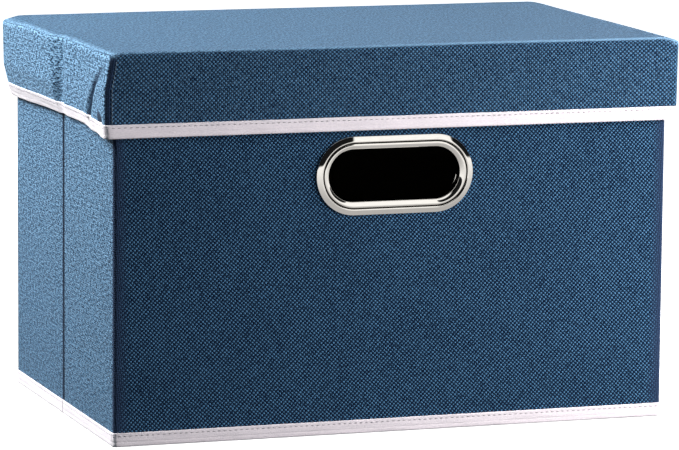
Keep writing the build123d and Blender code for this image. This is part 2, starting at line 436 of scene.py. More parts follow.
def turn_faces(piece, direction=None):
    """Turns a closed mesh's faces outwards, or an open sheet's so that on the whole they face a direction."""
    mesh = bmesh.new()
    mesh.from_mesh(piece.data)
    bmesh.ops.recalc_face_normals(mesh, faces=mesh.faces)
    if direction and sum(face.normal.dot(Vector(direction)) * face.calc_area() for face in mesh.faces) < 0:
        bmesh.ops.reverse_faces(mesh, faces=mesh.faces)
    mesh.to_mesh(piece.data)
    mesh.free()
    return piece


def thicken(piece, thickness, inner_material=0):
    """Gives a sheet its thickness, on the inner side of its faces."""
    solidify = piece.modifiers.new("thickness", "SOLIDIFY")
    solidify.thickness = thickness
    solidify.offset = -1
    solidify.material_offset = inner_material
    solidify.use_even_offset = False
    return piece


def set_value(piece, name, values):
    """Marks each point of a cloth. The plain mark is 1 where the cloth shows no weave, and from 1 to 2 it
    adds painted shade, full deep in a fold; the other mark is 1 where a painted highlight runs along an edge."""
    attribute = piece.data.attributes.new(name, "FLOAT", "POINT")
    attribute.data.foreach_set("value", np.asarray(values, np.float32))


def set_nap_and_painted_light(piece, along, up, strength):
    """How the cloth has been brushed: tufts per metre each way, and how much of it they cover. Their pale
    colour is also painted light, standing in for sheen and highlights.
    """
    attribute = piece.data.attributes.new("nap_and_painted_light", "FLOAT_VECTOR", "POINT")
    values = np.empty((len(piece.data.vertices), 3), np.float32)
    values[:, 0], values[:, 1], values[:, 2] = along, up, strength
    attribute.data.foreach_set("vector", values.ravel())


def smooth_step(t):
    t = np.clip(t, 0, 1)
    return t * t * (3 - 2 * t)


def ripple(a, b, seed, scale=9.0):
    """Smooth unevenness between about -1 and 1, at places in metres."""
    return np.array([noise.noise(Vector((x * scale, y * scale, seed))) * 1.6 for x, y in zip(a, b)])


def stadium_edge(half, grow, angles):
    """Points of a stadium with its centre at the origin, in the direction of each angle."""
    radius = half[1] + grow
    straight = half[0] - half[1]
    points = []
    for a in angles:
        c, s = math.cos(a), math.sin(a)
        reach = radius / abs(s) if abs(s) > 1e-9 else math.inf
        if abs(reach * c) > straight:
            # The ray meets the round end, whose centre is at straight along X
            b = straight * abs(c)
            reach = b + math.sqrt(b * b - straight * straight + radius * radius)
        points.append((reach * c, reach * s))
    return np.array(points)


def stadium_loop(half, count):
    """Evenly spaced points round a stadium, each with its outward direction."""
    radius, straight = half[1], half[0] - half[1]
    half_length = 2 * straight + math.pi * radius
    points, normals = [], []
    for i in range(count):
        # Each half is a straight side and then a round end, and the second is the first turned half round
        second, d = divmod(2 * half_length * i / count, half_length)
        way = -1 if second else 1
        turn = max(d - 2 * straight, 0) / radius
        normal = (-way * math.sin(turn), way * math.cos(turn))
        points.append((way * (straight - min(d, 2 * straight)) + radius * normal[0], radius * normal[1]))
        normals.append(normal)
    return np.array(points), np.array(normals)


def panel_with_hole(half_width, bottom, top, rings, spacing):
    """A flat panel's grid (rings, places round the hole): its points as (along, height)."""
    centre = np.array([0, RING_Z])
    across, up = int(2 * half_width / spacing), int((top - bottom) / spacing)
    edge = [(-half_width + 2 * half_width * i / across, bottom) for i in range(across)]
    edge += [(half_width, bottom + (top - bottom) * i / up) for i in range(up)]
    edge += [(half_width - 2 * half_width * i / across, top) for i in range(across)]
    edge += [(-half_width, top - (top - bottom) * i / up) for i in range(up)]
    edge = np.array(edge) - centre
    hole = stadium_edge(OPENING_HALF, CUT_BACK, np.arctan2(edge[:, 1], edge[:, 0]))
    shares = np.linspace(0, 1, rings)[:, None, None] ** 1.25
    return hole[None] * (1 - shares) + edge[None] * shares + centre


add_camera()
add_lights()
add_world()
bpy.context.scene.view_settings.view_transform = "Standard"

BLUE, WHITE = blue_weave(), binding()
METAL = nickel("nickel", (0.86, 0.85, 0.83, 1), (0.94, 0.93, 0.91, 1))
# Painted shade in the flange's groove: its faces there take a near-black plate.
GROOVE_SHADE_METAL = nickel("nickel_painted_groove_shade", (0.02, 0.018, 0.016, 1), (0.05, 0.045, 0.04, 1))
BLACK = non_woven("lining", (0.006, 0.006, 0.007, 1), (0.016, 0.016, 0.018, 1))
BASE_CLOTH = non_woven("base_cloth", (0.008, 0.008, 0.009, 1), (0.022, 0.022, 0.024, 1))
BOARD = chipboard()
GREY_THREAD = thread("grey_thread", (0.36, 0.34, 0.38, 1), (0.50, 0.48, 0.52, 1))
BLUE_THREAD = thread("blue_thread", (0.10, 0.17, 0.25, 1), (0.20, 0.30, 0.40, 1))


# ---------------------------------------------------------------- the body's cloth


def round_corner(s, edge, radius):
    """How far along and how far in a cloth is at s, where it turns inwards round a corner at edge."""
    s = np.asarray(s, float)
    turn = np.clip((np.abs(s) - (edge - radius)) / radius, 0, math.pi / 2)
    past = np.maximum(np.abs(s) - (edge - radius) - radius * math.pi / 2, 0)
    along = np.where(turn > 0, edge - radius + radius * np.sin(turn), np.abs(s))
    inward = radius * (1 - np.cos(turn)) + past
    return np.copysign(along, s), inward


def weld(parts):
    """Joins grids of points, given as (points, cloth, faces), where their edges meet."""
    points, cloth, faces, known = [], [], [], {}
    for part_points, part_cloth, part_faces in parts:
        index = []
        for p, c in zip(part_points, part_cloth):
            key = (round(p[0], 6), round(p[1], 6), round(p[2], 6))
            if key not in known:
                known[key] = len(points)
                points.append(p)
                cloth.append(c)
            index.append(known[key])
        for face in part_faces:
            corners = []
            for k in face:
                if index[k] not in corners:
                    corners.append(index[k])
            if len(corners) > 2:
                faces.append(tuple(corners))
    return np.array(points), np.array(cloth), faces


FLAT_HALF = HALF_WIDTH - CORNER_ROUND  # of the part of a long panel that is flat
SKIN_BOTTOM = 2.0 * MM
STEP = 4.0 * MM
OFF_GRAIN = 0.117  # how far the upright yarns lean, as the cloth is cut a little off its grain


def between_tapes(height):
    """How free the cloth is to swell: 0 at the base binding and under the lid, and 1 between."""
    return smooth_step((200 * MM - height) / (40 * MM)) * smooth_step((height - TAPE_TOP) / (25 * MM))


def long_skin(name, side, body):
    """The front or rear panel's cloth: flat, with the handle's hole, and turned round each corner."""
    grid = panel_with_hole(FLAT_HALF, SKIN_BOTTOM, WALL_TOP, rings=26, spacing=STEP)
    rows, columns = grid.shape[:2]
    parts = [(grid.reshape(-1, 2), grid.reshape(-1, 2), grid_faces(rows, columns, closed=True))]
    edge = FLAT_HALF + np.array([0, 0.5, 1.0, 1.5, 2.0, 2.6, 3.2, 3.9]) * MM
    up = int((WALL_TOP - SKIN_BOTTOM) / STEP)
    heights = SKIN_BOTTOM + (WALL_TOP - SKIN_BOTTOM) * np.arange(up + 1) / up
    for end in (-1, 1):
        flat = np.array([(end * s, z) for z in heights for s in edge])
        parts.append((flat, flat, grid_faces(len(heights), len(edge), flip=end < 0)))
    parts = [(np.column_stack([p, np.zeros(len(p))]), c, f) for p, c, f in parts]
    flat, _, faces = weld(parts)
    along, inward = round_corner(flat[:, 0], HALF_WIDTH, CORNER_ROUND)
    height = flat[:, 1]
    free = smooth_step((np.hypot(along, height - RING_Z) - 60 * MM) / (60 * MM))
    free *= smooth_step((HALF_WIDTH - np.abs(along)) / (14 * MM)) * between_tapes(height)
    swell = free * (0.3 * MM + 0.4 * MM * ripple(along, height, 3.0 + side))
    out = HALF_DEPTH - inward + swell
    points = np.stack([along, side * out, height], 1)
    cloth = np.stack([flat[:, 0] + OFF_GRAIN * height, height], 1) + 0.5
    skin = piece_from(name, points, faces, cloth, [BLUE])
    turn_faces(skin, (0, side, 0))
    half = FLAT_HALF + edge[-1] - edge[0]
    at_corner = smooth_step((np.abs(flat[:, 0]) - (half - 8.2 * MM)) / (0.9 * MM))
    set_value(skin, "plain", (side < 0) * at_corner)
    thicken(skin, SKIN)
    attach(skin, body)
    return skin


CREASE_DEEP = 0.7 * MM  # how far the cloth turns in at the centre crease
CREASE_HALF = 0.12 * MM  # half the slit that the two edges leave there
CORNER_END = HALF_DEPTH - CORNER_ROUND - 0.1 * MM  # where an end panel's cloth meets the long panel's


def end_cloth(x_side, y_side, start, end, low, high, face, step=2.2 * MM, seed=0.0, swollen=1.0):
    """A cloth on half of an end panel: points, flat coordinates, faces and distances from the crease."""
    near = start + np.array([0, 0.3, 0.8, 1.5, 2.4, 3.4]) * MM
    far = end - np.array([2.0, 1.2, 0.6, 0.2, 0.0]) * MM
    middle = np.linspace(near[-1], far[0], max(2, int((far[0] - near[-1]) / step)))[1:-1]
    t = np.concatenate([near, middle, far]) if end - start > 12 * MM else np.linspace(start, end, 8)
    heights = np.linspace(low, high, max(2, int((high - low) / (5 * MM))))
    along, height = (a.ravel() for a in np.meshgrid(t, heights))
    turned = CREASE_DEEP * np.clip(1 - (along - CREASE_HALF) / (3.2 * MM), 0, 1) ** 2
    turned += 0.4 * MM * np.clip(1 - (CORNER_END - along) / (1.2 * MM), 0, 1) ** 2
    swell = 0.3 * MM + 0.45 * MM * ripple(along * y_side, height, seed)
    swell *= smooth_step((along - 2 * MM) / (20 * MM))
    swell *= smooth_step((CORNER_END - along) / (25 * MM)) * between_tapes(height)
    out = face - swollen * (turned - swell)
    points = np.stack([x_side * out, y_side * along, height], 1)
    cloth = np.stack([-along * y_side * x_side + 1.5, height + 0.5], 1)
    return points, cloth, grid_faces(len(heights), len(t), flip=x_side * y_side < 0), along


def bend_or_ride(piece, body, wall):
    """A piece that turns a corner keeps its place, with its transform applied to its points. Any other rides
    its own body.
    """
    if wall is None:
        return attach(piece, body)
    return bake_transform(piece)


def end_skin(name, x_side, y_side, body, wall, start, end, seed):
    """Half of an end panel's cloth, or a narrow strip of it, which goes with another sheet."""
    extent = (start, end, SKIN_BOTTOM, WALL_TOP, HALF_WIDTH)
    points, cloth, faces, along = end_cloth(x_side, y_side, *extent, seed=seed)
    skin = piece_from(name, points, faces, cloth, [BLUE, BLACK])
    # Painted shade: the cloth turns to the dark fold colour at the centre crease.
    set_value(skin, "plain", 2.0 * smooth_step(1 - (along - 0.8 * MM) / (2.3 * MM)))
    # Painted light: the pale nap stands in for the end panels' sheen and grows towards the top, where the
    # light is brighter.
    set_nap_and_painted_light(skin, 290.0, 760.0, 0.30 + 0.30 * (points[:, 2] / WALL_TOP))
    turn_faces(skin, (x_side, 0, 0))
    thicken(skin, SKIN)
    bend_or_ride(skin, body, wall)
    return skin


def crease_strip(name, x_side):
    """The narrow cloth web that joins the two halves of an end panel behind the crease."""
    rows, columns = 40, 7
    y = np.linspace(-1.6 * MM, 1.6 * MM, columns)
    heights = np.linspace(SKIN_BOTTOM, WALL_TOP, rows)
    along, height = (a.ravel() for a in np.meshgrid(y, heights))
    out = HALF_WIDTH - 0.95 * MM + 0.1 * MM * np.cos(along / (1.6 * MM) * math.pi)
    points = np.stack([x_side * out, along, height], 1)
    cloth = np.stack([along + 2.5, height + 0.5], 1)
    strip = piece_from(name, points, grid_faces(rows, columns, flip=x_side < 0), cloth, [BLUE, BLACK])
    # Painted shade: the whole web takes the dark fold colour.
    set_value(strip, "plain", 2 * np.ones(len(points)))
    thicken(strip, 0.5 * MM)
    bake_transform(strip)
    return strip


def each_end_panel():
    """Every half of an end panel, with the wall that it turns the corner to, or None where it stops there."""
    for x_side, x_name in ((-1, "left"), (1, "right")):
        for y_side, y_name, wall in ((-1, "front", "front_wall"), (1, "rear", "back_wall")):
            meets = not (x_side > 0 and y_side < 0)
            yield x_side, y_side, f"{x_name}_{y_name}", (wall if meets else None)


def make_skins():
    webs = {"left": crease_strip("left_crease_web", -1), "right": crease_strip("right_crease_web", 1)}
    start = FOLD_Y + 0.1 * MM
    corner = end_skin("right_front_corner_cloth", 1, -1, "front_wall", None, start, CORNER_END, 12)
    for side, wall in ((-1, "front"), (1, "back")):
        pieces = [corner] if side < 0 else []
        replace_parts(long_skin(f"{wall}_panel_cloth", side, f"{wall}_wall"), f"{wall}_fabric")
    for x_side, y_side, body, wall in each_end_panel():
        seed = 10 + 3 * x_side + y_side
        end = CORNER_END if wall else FOLD_Y
        pieces = [webs[body.split("_")[0]]] if y_side > 0 else []
        skin = end_skin(f"{body}_cloth", x_side, y_side, body, wall, CREASE_HALF, end, seed)
        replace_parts(skin, f"{body}_fabric")


def make_linings():
    """The black cloth inside. It stops short of the corners, as the CAD model's does."""
    for side, wall in ((-1, "front"), (1, "back")):
        node = f"{wall}_lining"
        low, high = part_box(node)
        grid = panel_with_hole(high.x, low.z, high.z, rings=14, spacing=8 * MM)
        flat = grid.reshape(-1, 2)
        puff = 0.125 * MM * ripple(flat[:, 0], flat[:, 1], 30.0 + side)
        face = LINING_Y - 0.3 * MM + puff
        points = np.stack([flat[:, 0], side * face, flat[:, 1]], 1)
        faces = grid_faces(*grid.shape[:2], closed=True)
        lining = piece_from(node + "_cloth", points, faces, flat + 4.5, [BLACK])
        thicken(turn_faces(lining, (0, -side, 0)), LINING)
        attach(lining, f"{wall}_wall")
        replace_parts(lining, node)
    for x_side, y_side, body, _ in each_end_panel():
        node = f"{body}_lining"
        low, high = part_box(node)
        near, far = sorted((abs(low.y), abs(high.y)))
        face = min(abs(low.x), abs(high.x))
        extent = (near, far, low.z, high.z, face)
        points, cloth, faces, _ = end_cloth(x_side, y_side, *extent, step=8 * MM, seed=40.0, swollen=0.0)
        lining = piece_from(node + "_cloth", points, [f[::-1] for f in faces], cloth + 3, [BLACK])
        thicken(turn_faces(lining, (-x_side, 0, 0)), LINING)
        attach(lining, body)
        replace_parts(lining, node)


# ---------------------------------------------------------------- binding tapes and stitches


def run_along(path):
    """How far along a line each of its points is."""
    return np.concatenate([[0], np.cumsum(np.hypot(*np.diff(path, axis=0).T))])


def rounded_line(corners, radius, step):
    """Points and outward directions along straight runs whose corners are rounded. It goes clockwise."""
    corners = [np.array(c, float) for c in corners]
    count = len(corners)
    points, normals = [], []
    for i in range(count - 1):
        a, b = corners[i], corners[i + 1]
        along = (b - a) / np.linalg.norm(b - a)
        out = np.array([-along[1], along[0]])
        from_a = radius if i > 0 else 0.0
        to_b = radius if i < count - 2 else 0.0
        length = np.linalg.norm(b - a) - from_a - to_b
        for d in np.linspace(0, length, max(2, int(length / step) + 1)):
            points.append(a + along * (from_a + d))
            normals.append(out)
        if i < count - 2:
            c = corners[i + 2]
            turn_to = (c - b) / np.linalg.norm(c - b)
            out_to = np.array([-turn_to[1], turn_to[0]])
            centre = b - along * radius + turn_to * radius
            for angle in np.linspace(0, math.pi / 2, 6)[1:-1]:
                out_now = out * math.cos(angle) + out_to * math.sin(angle)
                points.append(centre + out_now * radius)
                normals.append(out_now)
    return np.array(points), np.array(normals)


def band(name, path, normals, profile, inside, uneven, seed, shift=None):
    """A folded tape along a line in plan, from a loop of (out, height). Its inner leg is `inside` deep."""
    run = run_along(path)
    count, around = len(path), len(profile)
    out, height = np.array(profile, float).T
    depth = np.broadcast_to(inside, (count,))
    out = np.where(out[None] < 0, -depth[:, None], np.broadcast_to(out, (count, around)))
    height = np.broadcast_to(height, (count, around))
    along = np.broadcast_to(run[:, None], (count, around))
    wave = uneven * ripple(along.ravel(), height.ravel(), seed, 45.0).reshape(count, around)
    wave = np.where(out > 0, wave, 0)
    rise = 0.6 * uneven * ripple(run, np.zeros(count), seed + 5, 22.0)
    points = np.empty((count, around, 3))
    points[..., :2] = path[:, None] + normals[:, None] * (out + wave)[..., None]
    points[..., 2] = height + rise[:, None] * (height > height.min() + 1 * MM)
    points = points.reshape(-1, 3)
    if shift:
        points = points + shift(points)
    cloth = np.stack([along.ravel() + 3, np.tile(run_along(np.array(profile)), count) + 0.2], 1)
    return turn_faces(piece_from(name, points, tube_faces(count, around), cloth, [WHITE]))


def tape_profile(low, high, thick):
    """The outer leg of a folded tape, with rounded edges and two stitched hollows. Two points are inside."""
    h = high - low
    outer = [(0.30, 0.0), (0.85, 0.035), (1.0, 0.11), (0.99, 0.24), (0.93, 0.30), (0.80, 0.335), (0.95, 0.37)]
    outer += [(1.0, 0.45), (1.0, 0.62), (0.95, 0.70), (0.80, 0.775), (0.93, 0.85), (1.0, 0.91)]
    outer += [(0.9, 0.97), (0.45, 1.0)]
    points = [(thick * out, low + h * up) for out, up in outer]
    return points + [(-1, high), (-1, low)]


def stitch_row(name, places, directions, normals, material, body, length=2.3 * MM, thick=0.5 * MM):
    """Short threads that dip into the cloth at each end."""
    shape = [(-0.5, -0.35), (-0.38, 0.45), (-0.14, 0.85), (0.14, 0.85), (0.38, 0.45), (0.5, -0.35)]
    points, faces = [], []
    for place, along, out in zip(places, directions, normals):
        place, along, out = Vector(place), Vector(along), Vector(out)
        side = along.cross(out)
        base = len(points)
        for t, lift in shape:
            centre = place + along * (t * length) + out * ((lift - 0.5) * thick)
            for k in range(5):
                a = 2 * math.pi * k / 5
                points.append(centre + (side * math.cos(a) + out * math.sin(a)) * thick * 0.5)
        faces += tube_faces(len(shape), 5, base)
    cloth = [(p[0] + p[1], p[2]) for p in points]
    row = turn_faces(piece_from(name, points, faces, cloth, [material]))
    if body:
        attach(row, body)
    return row


STITCH = 3.7 * MM  # from one to the next
STITCH_DOWN = 0.225  # how far below a binding's upper edge its stitches are, as a share of its height


def stitches_on(name, path, normals, out, height, body, shift=None):
    """A row of grey stitches along a line in plan."""
    run = run_along(path)
    count = int(run[-1] / STITCH)
    at = (np.arange(count) + 0.5) * run[-1] / count

    def place(d):
        xy = np.stack([np.interp(d, run, path[:, k]) for k in (0, 1)], 1)
        normal = np.stack([np.interp(d, run, normals[:, k]) for k in (0, 1)], 1)
        points = np.column_stack([xy + normal * out, np.full(len(d), height)])
        return (points + shift(points) if shift else points), np.column_stack([normal, np.zeros(len(d))])

    middle, outs = place(at)
    ahead, _ = place(np.minimum(at + 1 * MM, run[-1]))
    behind, _ = place(np.maximum(at - 1 * MM, 0))
    ways = (ahead - behind) / np.linalg.norm(ahead - behind, axis=1)[:, None]
    return stitch_row(name, middle, ways, outs, GREY_THREAD, body)


def wall_tapes(kind, low, high, thick, inside):
    """One binding round the body, in a length for each panel."""
    profile = tape_profile(low, high, thick)
    x, y, seam = HALF_WIDTH, HALF_DEPTH, CORNER_END
    lines = {
        "front": [(x, -FOLD_Y - 0.1 * MM), (x, -y), (-x, -y), (-x, -seam)],
        "back": [(-x, seam), (-x, y), (x, y), (x, seam)],
    }
    stitch_height = high - STITCH_DOWN * (high - low)
    for y_name, corners in lines.items():
        path, normals = rounded_line(corners, CORNER_ROUND, 3.5 * MM)
        name = f"{y_name}_{kind}_binding"
        tape = band(name, path, normals, profile, inside, uneven=0.12 * MM, seed=len(name))
        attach(tape, f"{y_name}_wall")
        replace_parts(tape, f"{y_name}_{kind}_tape")
        stitches_on(name + "_stitches", path, normals, thick * 0.85, stitch_height, f"{y_name}_wall")
    thick = min(thick, 0.85 * TAPE)  # thinner on the end panels, whose outer faces fold together
    profile = tape_profile(low, high, thick)
    for x_side, y_side, body, wall in each_end_panel():
        far = seam if wall else FOLD_Y
        ends = [(x_side * x, y_side * CREASE_HALF), (x_side * x, y_side * far)]
        corners = ends if x_side * y_side < 0 else ends[::-1]
        path, normals = rounded_line(corners, 0, 3.5 * MM)
        name = f"{body}_{kind}_binding"
        tape = band(name, path, normals, profile, inside, uneven=0.06 * MM, seed=len(name) + x_side)
        bend_or_ride(tape, body, wall)
        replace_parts(tape, f"{body}_{kind}_tape")
        row = stitches_on(name + "_stitches", path, normals, thick * 0.5, stitch_height, None)
        bend_or_ride(row, body, wall)


# ---------------------------------------------------------------- handles


def swept_ring(name, profile, side, body, groove=(), count=168):
    """A ring round the handle's opening, from a loop of (away from the opening, proud of the panel)."""
    loop, normals = stadium_loop(OPENING_HALF, count)
    away, proud = np.array(profile).T * MM
    points = np.empty((count, len(profile), 3))
    points[..., 0] = loop[:, None, 0] + normals[:, None, 0] * away
    points[..., 2] = loop[:, None, 1] + normals[:, None, 1] * away + RING_Z
    points[..., 1] = side * (HALF_DEPTH + proud)
    around = len(profile)
    faces = grid_faces(count, around, closed=True)
    last = (count - 1) * around
    faces += [(last + j, last + (j + 1) % around, (j + 1) % around, j) for j in range(around)]
    in_groove = [1 if f[0] % around in groove and f[1] % around in groove else 0 for f in faces]
    ring = turn_faces(piece_from(name, points.reshape(-1, 3), faces, None, [METAL, GROOVE_SHADE_METAL], in_groove))
    detail = ring.modifiers.new("detail", "SUBSURF")
    detail.levels = detail.render_levels = 1
    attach(ring, body)
    return ring


def make_handles():
    # Each from its outer edge, in mm. The flange's outer band comes first, then its groove and its neck
    flange = [(9.7, 0.0), (9.95, 0.2), (10.0, 0.5), (9.8, 0.9), (9.2, 1.2), (8.5, 1.55), (7.7, 1.92)]
    flange += [(6.9, 2.26), (6.35, 2.4), (6.0, 2.25), (5.75, 1.85), (5.6, 1.5), (5.3, 1.4), (5.05, 1.5)]
    flange += [(4.85, 1.75), (4.4, 2.0), (3.7, 2.05), (3.0, 1.85), (2.2, 1.4), (1.5, 0.8), (0.9, 0.05)]
    flange += [(0.45, -0.8), (0.15, -1.7), (0.0, -2.8), (0.0, -4.6), (0.2, -5.2), (0.8, -5.4), (2.2, -5.4)]
    flange += [(2.6, -5.2), (2.2, -5.0), (1.5, -4.8), (1.3, -4.2), (1.3, -3.0), (1.8, -0.4), (3.0, 0.0)]
    flange += [(6.0, 0.05)]
    backing = [(8.0, -3.5), (8.0, -4.1), (7.5, -4.6), (6.6, -4.8), (4.5, -4.75), (2.6, -4.8), (1.8, -4.5)]
    backing += [(1.45, -4.1), (1.4, -3.5), (4.5, -3.45)]
    for side, wall in ((-1, "front"), (1, "back")):
        ring = swept_ring(f"{wall}_handle_flange", flange, side, f"{wall}_wall", groove=(10, 11, 12, 13, 14))
        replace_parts(ring, f"{wall}_handle_ring")
        clip = swept_ring(f"{wall}_handle_clip", backing, side, f"{wall}_wall")
        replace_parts(clip, f"{wall}_handle_backing")


# ---------------------------------------------------------------- base and floor


def slab(name, low, high, edge, step, material):
    """A thin flat piece with rounded edges."""
    low, high = Vector(low), Vector(high)
    centre, half = (low + high) / 2, (high - low) / 2
    x, y = stations(-half.x, half.x, step, edge), stations(-half.y, half.y, step, edge)
    u, v = (a.ravel() for a in np.meshgrid(x, y))
    inside = np.clip(np.minimum(half.x - np.abs(u), half.y - np.abs(v)) / edge, 0, 1)
    lift = np.sqrt(1 - (1 - inside) ** 2) * half.z
    flat = np.stack([u + centre.x, v + centre.y], 1)
    top = np.column_stack([flat, centre.z + lift])
    bottom = np.column_stack([flat, centre.z - lift])
    faces = grid_faces(len(y), len(x))
    points, cloth, faces = weld([(top, flat + 1, faces), (bottom, flat + 1, [f[::-1] for f in faces])])
    return turn_faces(piece_from(name, points, faces, cloth, [material]))


def stations(low, high, step, fine):
    """Places from low to high, close together near both ends."""
    edge = np.array([0, 0.1, 0.25, 0.45, 0.7]) * fine
    middle = np.linspace(low + fine, high - fine, max(2, int((high - low - 2 * fine) / step) + 1))
    return np.concatenate([low + edge, middle, (high - edge)[::-1]])


def make_base():
    cover = slab("base_cushion_cover", BASE_LOW, BASE_HIGH, 1.6 * MM, 7 * MM, BASE_CLOTH)
    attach(cover, "base")
    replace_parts(cover, "base_cover")

    low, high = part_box("base_pull_tab")
    tab = slab("base_pull_loop", low, high, 0.35 * MM, 2 * MM, WHITE)
    for vertex in tab.data.vertices:
        if vertex.co.z > (low.z + high.z) / 2:
            t = (vertex.co.y - low.y) / (high.y - low.y)
            vertex.co.z -= 0.2 * MM * (1 - math.sin(math.pi * t))
    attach(tab, "base")
    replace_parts(tab, "base_pull_tab")

    low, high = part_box("base_hinge_strip")
    strip = slab("base_hinge_cloth", low, high, 0.3 * MM, 3 * MM, BASE_CLOTH)
    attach(strip, "back_wall")
    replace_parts(strip, "base_hinge_strip")

    low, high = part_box("fabric_floor")
    floor_cloth = slab("bottom_cloth", low, high, 0.4 * MM, 6 * MM, BASE_CLOTH)
    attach(floor_cloth, "back_wall")
    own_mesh(floor_cloth)
    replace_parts(floor_cloth, "fabric_floor")


# ---------------------------------------------------------------- lid

LID_X, LID_Y, LID_TOP, LID_HEM = LID_HIGH.x, LID_HIGH.y, LID_HIGH.z, LID_LOW.z
LID_ROUND = 2.8 * MM
BOARD_END = 182 * MM  # past it the lid's cloth has nothing under it, and slopes
END_DROP = 3.6 * MM
LINING_END, LINING_FLAT = 187.3 * MM, 181 * MM  # how far along the lining goes, and lies flat
SKIRT_BOARD_END = 186.5 * MM
HEM_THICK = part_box("lid_hem_tape")[1].x - LID_X
HEM_START, HEM_OVERLAP = 46 * MM, 7 * MM  # from the front corner to the hem binding's start, and past it


def bump_at(value, centre, width):
    return np.exp(-(((value - centre) / width) ** 2))


def end_overhang(y, h, x_side):
    """How far an end skirt stands off the body, in mm. h goes from 0 at its top to 1 at its hem."""
    left = x_side < 0
    rear = np.interp(h, [0, 0.6, 0.84, 1], [10.0, 9.0, 5.8, 2.7] if left else [8.5, 8.0, 6.9, 4.9])
    front = np.interp(h, [0, 0.6, 0.84, 1], [4.7, 4.8, 3.9, 2.0] if left else [8.3, 7.8, 6.9, 4.9])
    corner = np.interp(h, [0, 0.45, 0.84, 1], [3.2, 7.2, 7.4, 6.6] if left else [8.3, 7.6, 6.9, 4.9])
    turn_width = np.interp(h, [0, 0.25, 0.7, 1], [24, 17, 11, 8])
    crease = -17 + 8 * h + 1.2 * np.sin(9 * h)
    past_crease = smooth_step((y - crease) / turn_width)
    stand = front + (rear - front) * past_crease
    stand = stand - (0.9 * bump_at(y, crease, 5) - 0.7 * bump_at(y, crease - 13, 8)) * np.clip(h * 4, 0, 1)
    from_corner = y + LID_Y / MM
    ridge = 50 * (1 - (1 - h) ** 1.6)
    stand = stand + (0.9 if left else 0.4) * bump_at(from_corner, ridge + 5, 8) * smooth_step(h * 3)
    stand = corner + (stand - corner) * smooth_step(from_corner / 42)
    depth = (2.6 if left else 0.4) * smooth_step(h * 3 - 0.4) * smooth_step((1 - h) / 0.06)
    stand = stand - depth * bump_at(from_corner, ridge, 2.4)
    stand = stand - (1.8 if left else 0.3) * bump_at(h, 0.85, 0.09) * bump_at(from_corner, 14, 5)
    return np.maximum(stand, 1.3)


def lid_shift(points):
    """How the lid's soft cloth leaves its plain box: its ends stand off and hang in folds."""
    x, y, z = (np.asarray(points) / MM).T
    h = np.clip((LID_TOP / MM - z) / ((LID_TOP - LID_HEM) / MM), 0, 1)
    plain = (LID_X - HALF_WIDTH) / MM
    shift = np.zeros((len(x), 3))
    for x_side in (-1, 1):
        share = smooth_step((x * x_side - 150) / (LID_X / MM - 150))
        stand = end_overhang(y, h, x_side) + 0.35 * ripple(y * MM, z * MM, 60.0 + x_side, 28.0) * (1 - h)
        shift[:, 0] += x_side * (stand - plain) * share
        drop = END_DROP / MM * (0.55 if x_side > 0 else 0.2 + 0.5 * smooth_step((y - 50) / 60))
        shift[:, 2] -= drop * smooth_step((x * x_side - BOARD_END / MM) / 11.5) * (1 - h) ** 1.3
    tucked_up = smooth_step((y + 80) / 9) * (1 - smooth_step((y - 10) / 95))
    tucked_up *= smooth_step((-x - 180) / 10)
    shift[:, 2] += 2.3 * tucked_up * h**4
    y_side = np.sign(y)
    on_long = smooth_step((np.abs(y) - 110) / 14)
    slack = 0.3 * ripple(x * MM, z * MM, 70.0, 14.0) - 1.5 * (1 - h) ** 1.2
    shift[:, 1] += y_side * on_long * slack
    on_top = smooth_step((z - 250) / 4)
    shift[:, 2] += on_top * 0.3 * ripple(x * MM, y * MM, 80.0, 9.0) - 0.15 * on_top
    return shift * MM


def box_round(points, half_x, half_y, top, radius):
    """Rounds the upper edges and the upright corners of points on a box."""
    points = np.asarray(points, float)
    low = np.array([-half_x + radius, -half_y + radius, -1])
    high = np.array([half_x - radius, half_y - radius, top - radius])
    inner = np.clip(points, low, high)
    away = points - inner
    return inner + away * (radius / np.maximum(np.linalg.norm(away, axis=1), 1e-9))[:, None]


def lid_grids(half_x, half_y, low, top, radius, step, end_step):
    """The lid's three cloths as (points, flat coordinates, faces): the cover and the two end skirts."""
    xs = stations(-half_x, half_x, step, radius)
    ys = stations(-half_y, half_y, end_step, radius)
    drop = np.array([0, 0.1, 0.25, 0.45, 0.7, 1.0]) * radius
    below = np.linspace(radius, top - low, max(2, int((top - low - radius) / end_step)))
    zs = top - np.concatenate([drop, below[1:]])
    line = [(half_y, z, half_y + top - z) for z in zs[::-1]] + [(y, top, y) for y in ys[::-1][1:-1]]
    line += [(-half_y, z, -half_y - top + z) for z in zs]
    cover = np.array([(x, y, z) for y, z, _ in line for x in xs])
    cover_cloth = np.array([(x, v) for _, _, v in line for x in xs])
    grids = [(cover, cover_cloth, grid_faces(len(line), len(xs), flip=True))]
    for x_side in (-1, 1):
        end = np.array([(x_side * half_x, y, z) for z in zs for y in ys])
        cloth = np.array([(-x_side * y, z) for z in zs for y in ys])
        grids.append((end, cloth, grid_faces(len(zs), len(ys), flip=x_side > 0)))
    return [(box_round(p, half_x, half_y, top, radius), c + 6, f) for p, c, f in grids]


SEAM_IN = 4.6 * MM  # from the lid's left end to where its corner seams are topstitched
SEAM_IN_RIGHT = 1.2 * MM


def pleat_shade(y, z):
    """How deep in shade the corner pleat's fold is, and the small pocket under it, from 0 to 1."""
    h = (LID_TOP - z) / (LID_TOP - LID_HEM)
    from_corner = (y + LID_Y) / MM
    pocket = smooth_step(3.0 * bump_at(from_corner, 15 + 40 * (0.85 - h), 6) * bump_at(h, 0.85, 0.12) - 0.4)
    ridge = 50 * (1 - (1 - np.clip(h, 0, 1)) ** 1.6)
    fold = 0.75 * bump_at(from_corner, ridge, 2.6) * smooth_step((h - 0.03) / 0.4)
    return np.maximum(pocket, fold)


